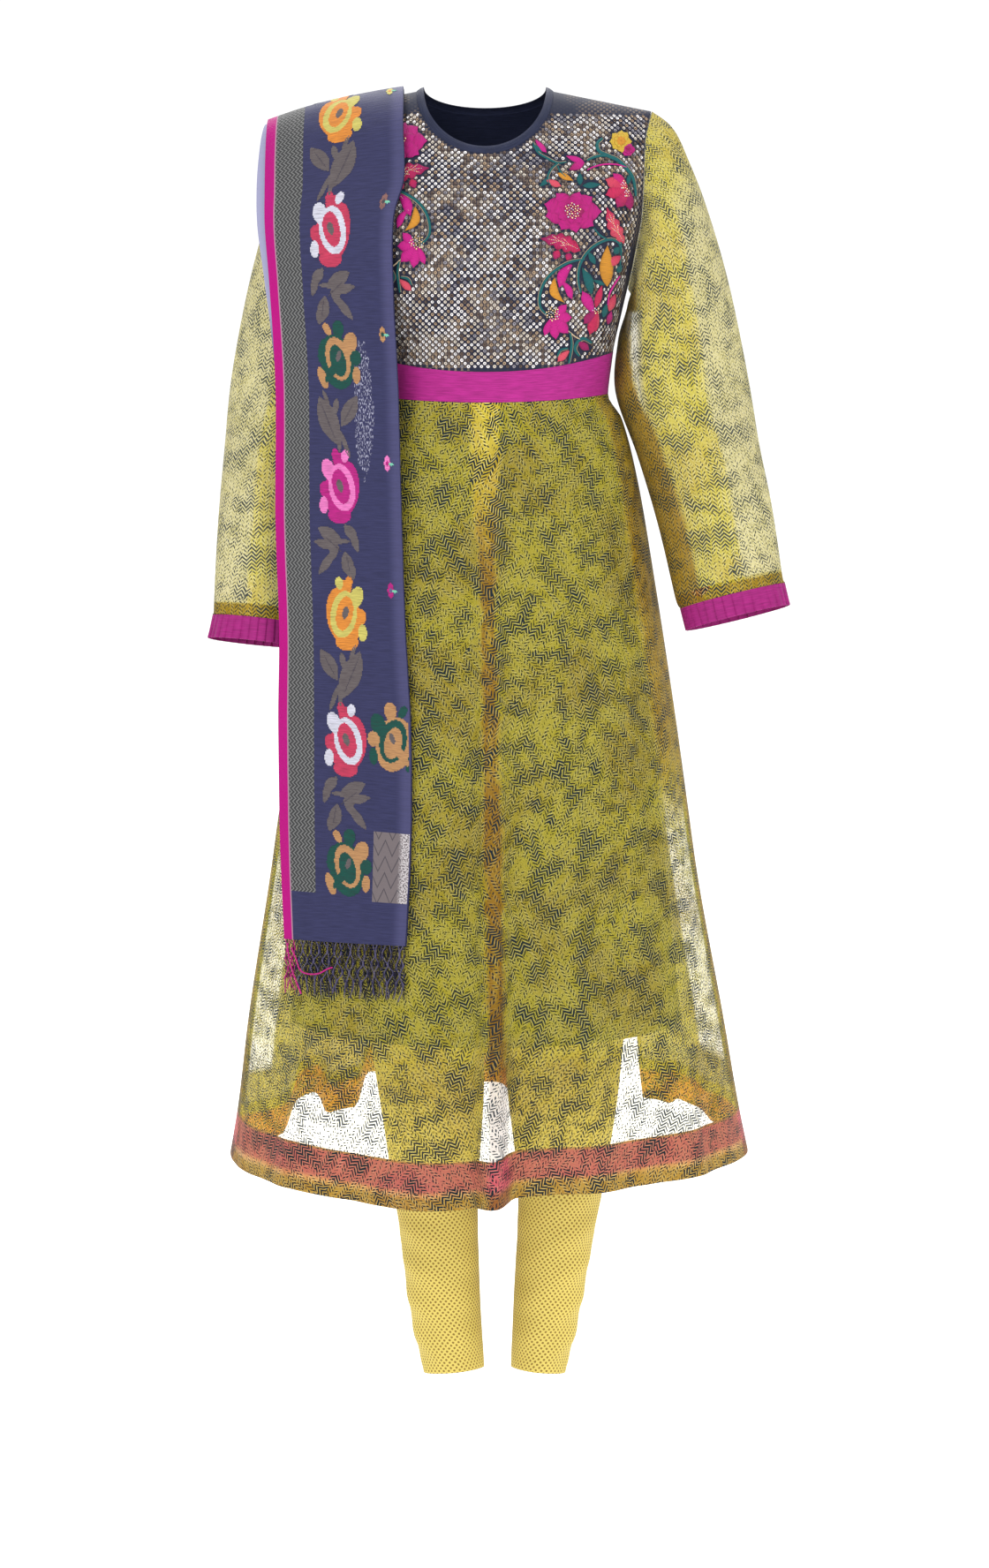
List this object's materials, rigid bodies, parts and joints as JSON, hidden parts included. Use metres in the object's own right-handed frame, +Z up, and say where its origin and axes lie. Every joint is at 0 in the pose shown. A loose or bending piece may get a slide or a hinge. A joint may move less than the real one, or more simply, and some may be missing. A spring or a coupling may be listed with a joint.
{
  "type": "salwar kameez suit",
  "caption": "Salwar kameez suit: sequinned yoke over a sheer flared skirt and sleeves, slim dotted trousers, and a folded fringed scarf over one shoulder.",
  "frame": {"origin": "shoulder height on the middle of the wearer's body, where the neck meets the shoulders", "axes": "+Z up along the body, +X towards the wearer's left, -Y towards the wearer's front"},
  "size_m": [0.6172, 0.4592, 1.3997],
  "materials": {
    "sequinned_net": "navy net closely covered with small silver sequins, flowers embroidered at both sides",
    "navy_silk": "soft satin",
    "magenta_silk": "soft satin",
    "sheer_print": "sheer chiffon, yellow with a navy broken herringbone print",
    "coral_facing": "sheer, seen through the skirt",
    "lining": "thin matt lining",
    "scarf_silk": "woven silk with a figured border",
    "fringe_yarn": "knotted yarn",
    "dotted_cotton": "matt cotton with small dots"
  },
  "bodies": {
    "root": {"cuff_left": "magenta_silk", "cuff_right": "magenta_silk", "fringe_back": "fringe_yarn", "fringe_front": "fringe_yarn", "hem_facing_back": "sheer_print", "hem_facing_front": "coral_facing", "lining_back": "lining", "lining_front": "lining", "neck_binding": "navy_silk", "scarf": "scarf_silk", "skirt_back": "sheer_print", "skirt_front": "sheer_print", "sleeve_hem_left": "sheer_print", "sleeve_hem_right": "sheer_print", "sleeve_left": "sheer_print", "sleeve_right": "sheer_print", "trouser_leg_left": "dotted_cotton", "trouser_leg_right": "dotted_cotton", "trouser_waistband": "dotted_cotton", "waist_band": "magenta_silk", "yoke_back": "navy_silk", "yoke_front": "sequinned_net"}
  },
  "joints": []
}
